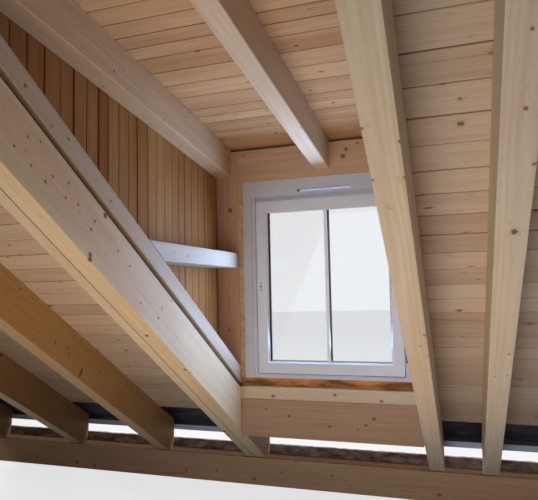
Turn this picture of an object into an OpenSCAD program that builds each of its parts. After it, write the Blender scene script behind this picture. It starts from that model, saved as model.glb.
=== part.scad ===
// Shed dormer framed into a timber roof, seen bare from the room side.
// X runs along the eaves, Y runs inward from the eaves, Z is up.
// Left and right are as seen from the room, so left is +X.
// The origin lies under the wall plate, on the centre line of the dormer.

/* [Slopes] */
// Pitch of the main roof in degrees
main_pitch = 32.8; // [30:0.1:36]
// Pitch of the dormer roof in degrees
dormer_pitch = 7.5; // [5:0.1:10]

/* [Wall plate] */
// Width of the wall plate
plate_w = 120; // [100:5:160]
// Height of the wall plate
plate_h = 165; // [120:5:200]
// Length of plate past the last rafter at each end
plate_overrun = 60; // [0:5:200]

/* [Rafters] */
// Width of a rafter
rafter_w = 80; // [60:1:90]
// Depth of a rafter, square to the slope
rafter_d = 192; // [160:1:220]
// Spacing of the regular rafters
rafter_grid = 669; // [600:1:720]
// Regular rafters beyond the left trimmer
left_rafters = 3; // [3:1:3]
// Gap between the right trimmer and the next rafter
right_gap = 201; // [150:1:260]
// Length of the rafter seat on the plate
seat_run = 60; // [45:1:80]
// Run from the wall plate's inner face to the front wall's inner face
heel_run = 418; // [380:1:460]
// Run of the main roof above the dormer's junction with it
roof_above = 220; // [150:10:900]
// Chamfer on the arrises of planed timber
arris = 3; // [1:0.5:5]

/* [Dormer opening] */
// Clear width between the two trimmers
clear_w = 960; // [900:1:1040]
// Thickness of the front wall and of the cheeks
frame_t = 130; // [110:1:150]
// Offset of the cut rafter from the centre of the dormer
cut_rafter_x = -149; // [-200:1:0]
// Width of the upper trimmer beam along the slope
upper_beam_w = 80; // [60:1:120]
// Thickness of the lower trimmer beam and the sill rail
lower_beam_t = 80; // [60:1:90]
// Height of the lower trimmer beam
lower_beam_h = 202; // [170:1:210]
// How far the lower trimmer beam drops below the rafters
lower_beam_drop = 30; // [10:1:40]
// Height of the bevel along the foot of the lower trimmer beam
beam_bevel_h = 24; // [10:1:40]
// Depth of that bevel
beam_bevel_d = 7; // [3:1:15]
// Height of the sill rail
sill_rail_h = 65; // [50:1:80]

/* [Cheeks] */
// Thickness of the sole plate, square to the slope
sole_t = 74; // [60:1:90]
// Height of the cheek rail
cheek_rail_h = 81; // [60:1:100]
// Height of the cheek rail's underside above the wall plate
cheek_rail_z = 1155; // [1000:1:1300]
// Thickness of the cheek boards
cheek_board_t = 22; // [18:1:28]

/* [Dormer roof] */
// Width of the middle dormer rafter
dormer_rafter_w = 82; // [60:1:100]
// Depth of a dormer rafter, square to its slope
dormer_rafter_d = 162; // [140:1:180]
// Offset of the middle dormer rafter
middle_rafter_x = -5; // [-40:1:40]
// How far the side dormer rafters stand back from the trimmer faces
side_rafter_setback = 40; // [20:1:60]
// Height of the dormer rafters' underside above the header's underside
rafter_lift = 36; // [10:1:60]
// Overhang of the dormer deck past the cheek boards
verge_overhang = 30; // [10:1:60]
// Overhang of the dormer deck past the fascia
eaves_overhang = 30; // [10:1:60]
// Height of the fascia board
fascia_h = 150; // [120:1:170]
// Thickness of the fascia board
fascia_t = 22; // [18:1:28]

/* [Decks and underlay] */
// Thickness of the roof boards
deck_t = 25; // [20:1:30]
// Run from the plate's inner face to the lower edge of the deck
deck_foot = 123; // [90:1:160]
// How far the deck edge stands back from the trimmer faces
deck_setback = 25; // [15:1:40]
// Thickness of the underlay as modelled
underlay_t = 2; // [1:0.5:3]
// How far the underlay hangs over the rafters' feet
underlay_hang = 65; // [20:5:100]
// Width of a counter batten
batten_w = 40; // [30:1:60]
// Thickness of a counter batten
batten_t = 27; // [20:1:40]

/* [Window] */
// Height of the window with its frame extensions
window_h = 1078; // [1000:1:1200]
// Width of the foam joint left of the window
foam_left = 29; // [5:1:40]
// Width of the foam joint right of the window
foam_right = 6; // [5:1:40]
// Depth of the frame extensions
window_depth = 80; // [70:1:100]
// Height of the packer under the window
packer_h = 48; // [30:1:60]
// Setback of the packer behind the window's inner face
packer_setback = 30; // [15:1:45]
// Width of the frame extension on each side
extension_side = 48; // [30:1:60]
// Height of the frame extension at the top
extension_top = 89; // [70:1:110]
// Setback of the outer frame ring behind the extensions
ring_setback = 8; // [4:1:14]
// Width of the outer frame ring that shows round the sash
ring_face = 21; // [15:1:30]
// Width of the outer stop behind the sash
ring_stop = 30; // [20:1:40]
// Thickness of the outer stop behind the sash
ring_stop_t = 12; // [8:1:20]
// Depth of the groove over the sash
head_groove = 22; // [8:1:30]
// Gap between the sash and the frame ring
sash_gap = 3; // [2:0.5:5]
// Setback of the sash behind the extensions
sash_setback = 12; // [8:1:20]
// Width of a sash member
sash_face = 64; // [50:1:80]
// Depth of the glazing rebate in the sash
glass_rebate = 14; // [10:1:20]
// Thickness of the double glazing
glass_t = 24; // [20:1:30]
// Thickness of the glazing bead in front of the glass
bead_t = 18; // [12:1:24]
// Bevel on the glazing bead and on the frame edges
bevel = 9; // [4:1:12]
// Clearance round the glass
glass_gap = 2; // [1:0.5:4]

/* [Window fittings] */
// Diameter of the handle's spindle hole
spindle_d = 11; // [8:1:14]
// Diameter of the screw holes over and under it
handle_screw_d = 9; // [6:1:11]
// Spacing of those three holes
handle_pitch = 18; // [16:1:25]
// Distance of the holes from the outer edge of the sash
handle_in = 21; // [15:1:30]
// Depth of the handle holes
handle_deep = 25; // [15:1:35]
// Length of the trickle vent slot
vent_slot_w = 292; // [240:1:340]
// Height of the trickle vent slot
vent_slot_h = 14; // [6:1:16]
// Height of the vent slot above the lower edge of the top extension
vent_z = 14; // [14:1:50]
// Rim of the vent cover round the slot
vent_rim = 8; // [5:1:12]
// Thickness of the vent cover
vent_t = 6; // [3:1:10]
// Diameter of a hinge barrel
hinge_d = 14; // [10:1:18]
// Length of a hinge barrel
hinge_l = 70; // [50:1:90]
// Projection of the outer sill past the window
sill_projection = 100; // [80:1:140]
// Thickness of the outer sill sheet
sill_t = 3; // [2:0.5:5]
// Height of the outer sill's front fold
sill_fold = 32; // [20:1:45]
// Slope of the outer sill in degrees
sill_pitch = 8; // [5:1:12]

/* [Hidden] */

rise = tan(main_pitch);
dormer_rise = tan(dormer_pitch);
half_w = clear_w / 2;
cheek_x = half_w + frame_t;
wall_y = plate_w / 2 + heel_run;
wall_out_y = wall_y - frame_t;
foot_y = plate_w / 2 - seat_run;
deck_low_y = plate_w / 2 + deck_foot;
rafter_v = rafter_d / cos(main_pitch);
deck_v = deck_t / cos(main_pitch);
sole_v = sole_t / cos(main_pitch);
underlay_v = underlay_t / cos(main_pitch);
batten_v = batten_t / cos(main_pitch);
dormer_rafter_v = dormer_rafter_d / cos(dormer_pitch);
dormer_deck_v = deck_t / cos(dormer_pitch);
dormer_underlay_v = underlay_t / cos(dormer_pitch);
dormer_batten_v = batten_t / cos(dormer_pitch);

beam_z = under_z(wall_y) - lower_beam_drop;
rail_z = beam_z + lower_beam_h;
packer_z = rail_z + sill_rail_h;
window_z = packer_z + packer_h;
header_z = window_z + window_h;
dormer_under_z = header_z + rafter_lift;
dormer_top_z = dormer_under_z + dormer_rafter_v;

window_w = clear_w - foam_left - foam_right;
window_x = (foam_right - foam_left) / 2;
ring_z = window_z;
ring_w = window_w - 2 * extension_side;
ring_h = window_h - extension_top;
sash_w = ring_w - 2 * (ring_face + sash_gap);
sash_h = ring_h - 2 * (ring_face + sash_gap);
sash_z = ring_z + ring_face + sash_gap;
sash_t = window_depth - ring_stop_t - sash_setback;
glass_w = sash_w - 2 * (sash_face - glass_rebate + glass_gap);
glass_h = sash_h - 2 * (sash_face - glass_rebate + glass_gap);
glass_depth = sash_setback + bead_t;

wood = "burlywood";
deck_wood = "wheat";
side_x = [for (k = [1:left_rafters]) half_w + k * rafter_grid];
right_x1 = half_w + rafter_w + right_gap;
right_x2 = right_x1 + rafter_grid;
left_end = side_x[left_rafters - 1] + rafter_w;
right_end = -(right_x2 + rafter_w);

// Height of the main rafters' underside and top, and of the deck's top, at a run y
function under_z(y) = plate_h + (y - plate_w / 2) * rise;
function rafter_z(y) = under_z(y) + rafter_v;
function deck_z(y) = rafter_z(y) + deck_v;
function sole_z(y) = deck_z(y) + sole_v;
// Height at a run y of a line at the dormer's pitch that has height z at the wall
function dormer_line(z, y) = z + (y - wall_y) * dormer_rise;
// Run where that line meets the main deck, raised by lift
function meet_y(z, lift) = wall_y + (z - deck_z(wall_y) - lift) / (rise - dormer_rise);

// Run of the dormer's junction with the main roof, and of the rafters' top end
junction_y = meet_y(dormer_top_z + dormer_deck_v + dormer_underlay_v, underlay_v);
top_y = junction_y + roof_above;

// Side profile in Y and Z, drawn out along X
module across(x0, x1) {
    translate([min(x0, x1), 0, 0])
        rotate([90, 0, 90])
            linear_extrude(abs(x1 - x0)) children();
}

// Front profile in X and Z, drawn out along Y from y0 inward to y1
module along(y0, y1) {
    translate([0, y1, 0])
        rotate([90, 0, 0])
            linear_extrude(y1 - y0) children();
}

// Flat layer on the main slope between two runs, from one lift above the rafters to the next
module slope_layer(y0, y1, low, high) {
    polygon([[y0, rafter_z(y0) + low], [y1, rafter_z(y1) + low],
        [y1, rafter_z(y1) + high], [y0, rafter_z(y0) + high]]);
}

// Rectangle with its corners eased, as planed timber has them
module eased(x0, y0, x1, y1) {
    polygon([[x0 + arris, y0], [x1 - arris, y0], [x1, y0 + arris], [x1, y1 - arris],
        [x1 - arris, y1], [x0 + arris, y1], [x0, y1 - arris], [x0, y0 + arris]]);
}

// Planed timber between two side faces, cut to the child profile
// Its lower face lies at a pitch through a point at y and z
module planed(x0, x1, y, z, pitch, depth) {
    color(wood)
        intersection() {
            across(x0, x1) children();
            translate([0, y, z])
                rotate([pitch, 0, 0])
                    along(-top_y, 2 * top_y) eased(min(x0, x1), 0, max(x0, x1), depth);
        }
}

// A rafter from its seat on the plate to its top end, x is its face nearest the dormer
module rafter(x, w = rafter_w) {
    planed(x, x + w, plate_w / 2, plate_h, main_pitch, rafter_d)
        polygon([[plate_w / 2, plate_h], [top_y, under_z(top_y)], [top_y, rafter_z(top_y)],
            [foot_y, rafter_z(foot_y)], [foot_y, plate_h]]);
}

module wall_plate() {
    color(wood)
        across(right_end - plate_overrun, left_end + plate_overrun)
            eased(-plate_w / 2, 0, plate_w / 2, plate_h);
}

module trimmer_left() { rafter(half_w); }
module trimmer_left_doubler() { rafter(half_w + rafter_w, frame_t - rafter_w); }
module trimmer_right() { rafter(-half_w - rafter_w); }
module rafter_left_1() { rafter(side_x[0]); }
module rafter_left_2() { rafter(side_x[1]); }
module rafter_left_3() { rafter(side_x[2]); }
module rafter_right_1() { rafter(-right_x1 - rafter_w); }
module rafter_right_2() { rafter(-right_x2 - rafter_w); }

// Upper beam: its lower top edge lies under the toe of the middle dormer rafter
upper_y = meet_y(dormer_under_z, 0) - upper_beam_w / 4;
down_dir = [sin(main_pitch), -cos(main_pitch)];
upper_a = [upper_y, rafter_z(upper_y)];
upper_b = upper_a + upper_beam_w * [cos(main_pitch), sin(main_pitch)];

module upper_trimmer_beam() {
    color(wood)
        across(-half_w, half_w)
            translate(upper_a) rotate(main_pitch) eased(0, -rafter_d, upper_beam_w, 0);
}

module cut_rafter() {
    planed(cut_rafter_x - rafter_w / 2, cut_rafter_x + rafter_w / 2, plate_w / 2, plate_h, main_pitch, rafter_d)
        polygon([upper_b, upper_b + rafter_d * down_dir, [top_y, under_z(top_y)],
            [top_y, rafter_z(top_y)]]);
}

// Front wall: beam, sill rail, posts and header between them
// Each profile runs from its outer face y0 to the room face, whose arrises are eased by the given sizes
module wall_member(y0, z0, z1, low_in = arris, low_up = arris) {
    color(wood)
        across(-half_w, half_w)
            polygon([[y0, z0], [wall_y - low_in, z0], [wall_y, z0 + low_up], [wall_y, z1 - arris],
                [wall_y - arris, z1], [y0, z1]]);
}

module lower_trimmer_beam() { wall_member(wall_y - lower_beam_t, beam_z, rail_z, beam_bevel_d, beam_bevel_h); }
module sill_rail() { wall_member(wall_y - lower_beam_t, rail_z, packer_z); }

// Top of the front wall, where its outer edge meets the underside of the dormer deck
header_top_z = dormer_line(dormer_top_z, wall_out_y);

module corner_post(side) {
    x0 = min(side * half_w, side * cheek_x);
    color(wood)
        intersection() {
            across(side * half_w, side * cheek_x)
                polygon([[wall_out_y, deck_z(wall_out_y)], [wall_y, deck_z(wall_y)],
                    [wall_y, header_top_z], [wall_out_y, header_top_z]]);
            linear_extrude(2 * header_top_z) eased(x0, wall_out_y, x0 + frame_t, wall_y);
        }
}

module corner_post_left() { corner_post(1); }
module corner_post_right() { corner_post(-1); }

module header_beam() { wall_member(wall_out_y, header_z, header_top_z); }

// Cheeks: sole plate on the main deck, rail, and boards nailed outside
module sole_plate(side) {
    low_meet = meet_y(dormer_top_z, 0);
    high_meet = meet_y(dormer_top_z, sole_v);
    planed(side * half_w, side * cheek_x, wall_y, deck_z(wall_y), main_pitch, sole_t)
        polygon([[wall_y, deck_z(wall_y)], [low_meet, deck_z(low_meet)],
            [high_meet, sole_z(high_meet)], [wall_y, sole_z(wall_y)]]);
}

module sole_plate_left() { sole_plate(1); }
module sole_plate_right() { sole_plate(-1); }

module cheek_rail(side) {
    low = plate_h + cheek_rail_z;
    high = low + cheek_rail_h;
    low_y = wall_y + (low - sole_z(wall_y)) / rise;
    high_y = wall_y + (high - sole_z(wall_y)) / rise;
    planed(side * half_w, side * cheek_x, wall_y, low, 0, cheek_rail_h)
        polygon([[wall_y, low], [low_y, low], [high_y, high], [wall_y, high]]);
}

module cheek_rail_left() { cheek_rail(1); }
module cheek_rail_right() { cheek_rail(-1); }

module cheek_boards(side) {
    tip = meet_y(dormer_top_z, 0);
    color("tan")
        across(side * cheek_x, side * (cheek_x + cheek_board_t))
            polygon([[wall_out_y, deck_z(wall_out_y)], [tip, deck_z(tip)],
                [wall_out_y, dormer_line(dormer_top_z, wall_out_y)]]);
}

module cheek_boards_left() { cheek_boards(1); }
module cheek_boards_right() { cheek_boards(-1); }

// Dormer rafter between the front wall and a bevel that lies lift above the main deck
module dormer_rafter(x0, x1, lift) {
    toe = meet_y(dormer_under_z, lift);
    heel = meet_y(dormer_top_z, lift);
    planed(x0, x1, wall_y, dormer_under_z, dormer_pitch, dormer_rafter_d)
        polygon([[wall_y, dormer_under_z], [toe, dormer_line(dormer_under_z, toe)],
            [heel, dormer_line(dormer_top_z, heel)], [wall_y, dormer_top_z]]);
}

module dormer_rafter_left() { dormer_rafter(half_w + side_rafter_setback, cheek_x, sole_v); }
module dormer_rafter_right() { dormer_rafter(-cheek_x, -half_w - side_rafter_setback, sole_v); }

module dormer_rafter_middle() {
    dormer_rafter(middle_rafter_x - dormer_rafter_w / 2, middle_rafter_x + dormer_rafter_w / 2, 0);
}

// Layer on the dormer roof from y0 up to the main underlay, from one lift above its rafters to the next
module dormer_layer(y0, low, high) {
    low_meet = meet_y(dormer_top_z + low, underlay_v);
    high_meet = meet_y(dormer_top_z + high, underlay_v);
    polygon([[y0, dormer_line(dormer_top_z + low, y0)], [low_meet, deck_z(low_meet) + underlay_v],
        [high_meet, deck_z(high_meet) + underlay_v], [y0, dormer_line(dormer_top_z + high, y0)]]);
}

verge_x = cheek_x + cheek_board_t + verge_overhang;
dormer_edge_y = wall_out_y - fascia_t - eaves_overhang;

module dormer_deck() {
    color(deck_wood)
        across(-verge_x, verge_x) dormer_layer(dormer_edge_y, 0, dormer_deck_v);
}

module dormer_fascia() {
    fascia_x = cheek_x + cheek_board_t;
    fascia_y = wall_out_y - fascia_t;
    color(wood)
        translate([-fascia_x, fascia_y, dormer_line(dormer_top_z, fascia_y) - fascia_h])
            cube([2 * fascia_x, fascia_t, fascia_h]);
}

// Boarded decks of the main roof round the opening
deck_x = half_w + deck_setback;

module main_deck(x0, x1, y0, y1) {
    color(deck_wood)
        across(x0, x1) slope_layer(y0, y1, 0, deck_v);
}

module roof_deck_left() { main_deck(deck_x, left_end, deck_low_y, top_y); }
module roof_deck_right() { main_deck(right_end, -deck_x, deck_low_y, top_y); }
module roof_deck_above() { main_deck(-deck_x, deck_x, upper_y, top_y); }
module roof_deck_below() { main_deck(-deck_x, deck_x, deck_low_y, wall_y - lower_beam_t); }

// Underlay on a deck up to y1: below the deck it drops onto the rafters and hangs over their feet
module underlay(x0, x1, y1) {
    drop_y = deck_low_y - 2 * deck_v;
    edge_y = foot_y - underlay_t;
    hem_z = rafter_z(foot_y) - underlay_hang;
    color("dimgray")
        across(x0, x1)
            polygon([[foot_y, hem_z], [foot_y, rafter_z(foot_y)], [drop_y, rafter_z(drop_y)],
                [deck_low_y, deck_z(deck_low_y)], [y1, deck_z(y1)], [y1, deck_z(y1) + underlay_v],
                [deck_low_y, deck_z(deck_low_y) + underlay_v], [drop_y, rafter_z(drop_y) + underlay_v],
                [edge_y, rafter_z(edge_y) + underlay_v], [edge_y, hem_z]]);
}

cheek_out_x = cheek_x + cheek_board_t;

module underlay_left() { underlay(cheek_out_x, left_end, top_y); }
module underlay_right() { underlay(right_end, -cheek_out_x, top_y); }
module underlay_below() { underlay(-cheek_out_x, cheek_out_x, wall_out_y); }

// The dormer's sheet ends on the sheet of the main deck, which starts a lap below it
module underlay_dormer() {
    lap_y = meet_y(dormer_top_z + dormer_deck_v, underlay_v) - batten_w;
    color("dimgray") {
        across(-verge_x, verge_x)
            dormer_layer(dormer_edge_y, dormer_deck_v, dormer_deck_v + dormer_underlay_v);
        across(-cheek_out_x, cheek_out_x) slope_layer(lap_y, top_y, deck_v, deck_v + underlay_v);
    }
}

// Counter battens over the rafters hold the underlay down
module counter_batten(x, y0) {
    across(x - batten_w / 2, x + batten_w / 2)
        slope_layer(y0, top_y, deck_v + underlay_v, deck_v + underlay_v + batten_v);
}

module dormer_counter_batten(x) {
    low = dormer_top_z + dormer_deck_v + dormer_underlay_v;
    high = low + dormer_batten_v;
    stop_y = junction_y - batten_w;
    across(x - batten_w / 2, x + batten_w / 2)
        polygon([[dormer_edge_y, dormer_line(low, dormer_edge_y)], [stop_y, dormer_line(low, stop_y)],
            [stop_y, dormer_line(high, stop_y)], [dormer_edge_y, dormer_line(high, dormer_edge_y)]]);
}

module counter_battens() {
    half_rafter = rafter_w / 2;
    full = [each side_x, -right_x1 - rafter_w, -right_x2 - rafter_w];
    short = [half_w, cut_rafter_x - half_rafter, -half_w - rafter_w];
    side_center = (half_w + side_rafter_setback + cheek_x) / 2;
    color(wood) {
        for (x = full) counter_batten(x + half_rafter, deck_low_y);
        for (x = short) counter_batten(x + half_rafter, junction_y + batten_w);
        for (x = [side_center, middle_rafter_x, -side_center]) dormer_counter_batten(x);
    }
}

// Four members round a rectangle, mitred at the corners
// The child profile has its depth outward on X and the distance in from the outer edge on Y
module mitred_ring(w, h, z0) {
    reach = min(w, h) / 2;
    for (turn = [0:3]) {
        long = turn % 2 == 0 ? w : h;
        translate([window_x, wall_y, z0 + h / 2])
            rotate([0, 90 * turn, 0])
                translate([0, 0, turn % 2 == 0 ? -h / 2 : -w / 2])
                    intersection() {
                        translate([-long / 2, 0, 0])
                            rotate([90, 0, 90])
                                linear_extrude(long) mirror([1, 0]) children();
                        along(-window_depth, 0)
                            polygon([[-long / 2, 0], [long / 2, 0], [long / 2 - reach, reach],
                                [reach - long / 2, reach]]);
                    }
    }
}

module window_frame_extension() {
    inner = ring_w / 2;
    slot_z = header_z - extension_top + vent_z;
    color("white")
        difference() {
            along(wall_y - window_depth, wall_y)
                polygon([[window_x - window_w / 2, window_z], [window_x - inner, window_z],
                    [window_x - inner, header_z - extension_top], [window_x + inner, header_z - extension_top],
                    [window_x + inner, window_z], [window_x + window_w / 2, window_z],
                    [window_x + window_w / 2, header_z], [window_x - window_w / 2, header_z]]);
            translate([window_x - vent_slot_w / 2, wall_y - window_depth - 1, slot_z])
                cube([vent_slot_w, window_depth + 2, vent_slot_h]);
        }
}

module window_frame_ring() {
    stop_x = window_depth - ring_stop_t;
    opening_w = ring_w - 2 * ring_face;
    color("white")
        difference() {
            mitred_ring(ring_w, ring_h, ring_z)
                polygon([[ring_setback, 0], [ring_setback, ring_face - bevel / 3],
                    [ring_setback + bevel / 3, ring_face], [stop_x, ring_face],
                    [stop_x, ring_face + ring_stop], [window_depth, ring_face + ring_stop - bevel / 3],
                    [window_depth, 0]]);
            translate([window_x - opening_w / 2, wall_y - ring_setback - head_groove,
                    ring_z + ring_h - ring_face - bevel])
                cube([opening_w, head_groove + 1, ring_face + bevel + 1]);
        }
}

module window_sash() {
    back = sash_setback + sash_t;
    glass_back = glass_depth + glass_t;
    rebate_w = sash_face - glass_rebate;
    color("white")
        difference() {
            mitred_ring(sash_w, sash_h, sash_z)
                polygon([[sash_setback, 0], [sash_setback, sash_face - bevel], [sash_setback + bevel, sash_face],
                    [glass_depth, sash_face], [glass_depth, rebate_w], [glass_back, rebate_w],
                    [glass_back, sash_face - bevel / 2], [back, sash_face - 2 * bevel], [back, 0]]);
            for (k = [-1:1])
                translate([window_x + sash_w / 2 - handle_in, wall_y - sash_setback + 1,
                        sash_z + sash_h / 2 + k * handle_pitch])
                    rotate([90, 0, 0])
                        cylinder(h = handle_deep + 1, d = k == 0 ? spindle_d : handle_screw_d, $fn = 24);
        }
}

module window_glass() {
    color("lightblue", 0.4)
        translate([window_x - glass_w / 2, wall_y - glass_depth - glass_t,
                sash_z + (sash_h - glass_h) / 2])
            cube([glass_w, glass_t, glass_h]);
}

// Slotted cover on the room side of the vent slot and a hood on the outer side
module trickle_vent() {
    slot_z = header_z - extension_top + vent_z;
    cover_w = vent_slot_w + 2 * vent_rim;
    cover_h = vent_slot_h + 2 * vent_rim;
    color("white") {
        along(wall_y, wall_y + vent_t)
            difference() {
                translate([window_x - cover_w / 2, slot_z - vent_rim]) square([cover_w, cover_h]);
                translate([window_x - vent_slot_w / 2, slot_z]) square([vent_slot_w, vent_slot_h]);
            }
        across(window_x - cover_w / 2, window_x + cover_w / 2)
            polygon([[wall_y - window_depth, slot_z + vent_slot_h + vent_rim],
                [wall_y - window_depth, slot_z + vent_slot_h],
                [wall_y - window_depth - 2 * vent_t, slot_z - vent_rim],
                [wall_y - window_depth - 3 * vent_t, slot_z - vent_rim]]);
    }
}

// Two hinge barrels on the frame ring, beside the right edge of the sash
module sash_hinges() {
    hinge_x = window_x - sash_w / 2 - sash_gap - ring_face / 2;
    seat_y = wall_y - ring_setback;
    pad_w = hinge_d * 0.8;
    color("silver")
        for (z = [sash_z + hinge_l, sash_z + sash_h - 2 * hinge_l]) {
            translate([hinge_x, seat_y + hinge_d / 2, z]) cylinder(h = hinge_l, d = hinge_d, $fn = 32);
            translate([hinge_x - pad_w / 2, seat_y, z]) cube([pad_w, hinge_d / 2, hinge_l]);
        }
}

module foam_joint() {
    foam_y = wall_y - window_depth + bevel;
    foam_t = window_depth - 2 * bevel;
    color("khaki") {
        translate([half_w - foam_left, foam_y, window_z]) cube([foam_left, foam_t, window_h]);
        translate([-half_w, foam_y, window_z]) cube([foam_right, foam_t, window_h]);
    }
}

module window_packer() {
    color("peru")
        translate([-half_w, wall_y - window_depth, packer_z])
            cube([clear_w, window_depth - packer_setback, packer_h]);
}

module outer_sill() {
    back_y = wall_y - window_depth;
    nose_y = back_y - sill_projection;
    fall = sill_projection * tan(sill_pitch);
    color("lightgray")
        across(-half_w, half_w)
            polygon([[back_y, window_z], [back_y, window_z + 4 * sill_t], [back_y - sill_t, window_z + 4 * sill_t],
                [back_y - sill_t, window_z + sill_t], [nose_y, window_z + sill_t - fall],
                [nose_y - sill_t, window_z + sill_t - fall - sill_fold],
                [nose_y, window_z + sill_t - fall - sill_fold], [nose_y + sill_t, window_z - fall]]);
}

wall_plate();
trimmer_left();
trimmer_left_doubler();
trimmer_right();
rafter_left_1();
rafter_left_2();
rafter_left_3();
rafter_right_1();
rafter_right_2();
upper_trimmer_beam();
cut_rafter();
lower_trimmer_beam();
sill_rail();
corner_post_left();
corner_post_right();
header_beam();
sole_plate_left();
sole_plate_right();
cheek_rail_left();
cheek_rail_right();
cheek_boards_left();
cheek_boards_right();
dormer_rafter_left();
dormer_rafter_middle();
dormer_rafter_right();
dormer_deck();
dormer_fascia();
roof_deck_left();
roof_deck_right();
roof_deck_above();
roof_deck_below();
underlay_left();
underlay_right();
underlay_below();
underlay_dormer();
counter_battens();
window_frame_extension();
window_frame_ring();
window_sash();
window_glass();
trickle_vent();
sash_hinges();
foam_joint();
window_packer();
outer_sill();
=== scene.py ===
import math
import random

import bmesh
import bpy
from mathutils import Euler, Matrix, Vector, noise


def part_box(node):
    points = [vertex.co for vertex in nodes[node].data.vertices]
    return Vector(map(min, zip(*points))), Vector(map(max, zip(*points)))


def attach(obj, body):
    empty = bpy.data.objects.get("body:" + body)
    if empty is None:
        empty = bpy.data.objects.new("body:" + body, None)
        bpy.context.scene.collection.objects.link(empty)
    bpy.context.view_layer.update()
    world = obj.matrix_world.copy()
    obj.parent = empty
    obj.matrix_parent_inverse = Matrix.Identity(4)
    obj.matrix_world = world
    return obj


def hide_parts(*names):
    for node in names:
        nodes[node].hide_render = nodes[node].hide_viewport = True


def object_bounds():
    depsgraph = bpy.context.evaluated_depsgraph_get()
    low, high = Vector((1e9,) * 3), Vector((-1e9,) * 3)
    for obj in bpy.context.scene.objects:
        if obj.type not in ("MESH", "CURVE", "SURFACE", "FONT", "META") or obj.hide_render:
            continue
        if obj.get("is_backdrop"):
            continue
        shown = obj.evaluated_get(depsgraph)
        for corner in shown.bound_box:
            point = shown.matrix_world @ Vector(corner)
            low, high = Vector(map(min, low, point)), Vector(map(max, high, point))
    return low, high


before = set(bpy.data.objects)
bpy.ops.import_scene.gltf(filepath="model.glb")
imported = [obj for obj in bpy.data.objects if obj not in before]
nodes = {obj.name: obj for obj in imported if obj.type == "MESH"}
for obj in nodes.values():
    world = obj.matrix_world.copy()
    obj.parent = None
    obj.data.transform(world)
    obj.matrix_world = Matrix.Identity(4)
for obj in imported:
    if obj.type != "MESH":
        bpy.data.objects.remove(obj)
cad_low, cad_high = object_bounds()

# The view
# The roof stands on a pale floor and is seen from inside the room, up under its slope.
# Daylight comes softly from the room, from the sky and, cooler, through the window.

camera_data = bpy.data.cameras.new("camera")
camera_data.sensor_width = 36
camera_data.lens = 37.36
camera_data.clip_end = 200
camera = bpy.data.objects.new("camera", camera_data)
camera.location = (-0.66178, 3.378, 1.18638)
camera.rotation_euler = [math.radians(turn) for turn in (94.2328, 1.1613, -161.5266)]
bpy.context.scene.collection.objects.link(camera)
bpy.context.scene.camera = camera
bpy.context.scene.view_settings.view_transform = "Standard"


def colour(red, green, blue):
    """A colour as it looks on the piece, from 0 to 255 each, turned into the light that Blender mixes."""
    seen = [part / 255 for part in (red, green, blue)]
    mixed = [part / 12.92 if part <= 0.04045 else ((part + 0.055) / 1.055) ** 2.4 for part in seen]
    return (*mixed, 1.0)


def shade(tree, kind, inputs=None, **settings):
    """Adds a shader node and feeds its inputs with plain values or with the outputs of other nodes."""
    made = tree.nodes.new(kind)
    for key, value in settings.items():
        setattr(made, key, value)
    for key, value in (inputs or {}).items():
        if isinstance(value, bpy.types.NodeSocket):
            tree.links.new(value, made.inputs[key])
        else:
            made.inputs[key].default_value = value
    return made


def reckon(tree, operation, *values):
    """The result of one sum on plain values or on the outputs of other nodes."""
    return shade(tree, "ShaderNodeMath", dict(enumerate(values)), operation=operation).outputs[0]


def seen_directly(tree):
    """1 where the camera sees a surface straight, in a reflection or through glass, otherwise 0."""
    path = shade(tree, "ShaderNodeLightPath").outputs
    seen = reckon(tree, "MAXIMUM", path["Is Camera Ray"], path["Is Glossy Ray"])
    return reckon(tree, "MAXIMUM", seen, path["Is Transmission Ray"])


def new_finish(name):
    """A material with nothing in it yet, and its node tree."""
    made = bpy.data.materials.new(name)
    made.use_nodes = True
    made.node_tree.nodes.clear()
    return made, made.node_tree


pale = colour(240, 241, 242)
sky_light = 0.03
floor_glow = 0.84

world = bpy.data.worlds.new("daylight")
world.use_nodes = True
bpy.context.scene.world = world
tree = world.node_tree
tree.nodes.clear()
backdrop = shade(tree, "ShaderNodeBackground", {"Color": pale, "Strength": 1.0})
daylight = shade(tree, "ShaderNodeBackground", {"Color": colour(255, 228, 190), "Strength": sky_light})
mixed = shade(tree, "ShaderNodeMixShader",
              {0: seen_directly(tree), 1: daylight.outputs[0], 2: backdrop.outputs[0]})
shade(tree, "ShaderNodeOutputWorld", {"Surface": mixed.outputs[0]})

floor_mesh = bmesh.new()
bmesh.ops.create_circle(floor_mesh, cap_ends=True, segments=96, radius=30)
floor_data = bpy.data.meshes.new("floor")
floor_mesh.to_mesh(floor_data)
floor = bpy.data.objects.new("floor", floor_data)
floor.location = (0.5, 1.5, -0.002)
bpy.context.scene.collection.objects.link(floor)
floor_finish, tree = new_finish("pale_floor")
matt = shade(tree, "ShaderNodeBsdfDiffuse", {"Color": colour(84, 78, 72)})
shadowed = shade(tree, "ShaderNodeBsdfDiffuse", {"Color": colour(110, 110, 110)})
glow = shade(tree, "ShaderNodeEmission", {"Color": pale, "Strength": floor_glow})
lifted = shade(tree, "ShaderNodeAddShader", {0: shadowed.outputs[0], 1: glow.outputs[0]})
mixed = shade(tree, "ShaderNodeMixShader", {0: seen_directly(tree), 1: matt.outputs[0], 2: lifted.outputs[0]})
shade(tree, "ShaderNodeOutputMaterial", {"Surface": mixed.outputs[0]})
floor_data.materials.append(floor_finish)
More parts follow.
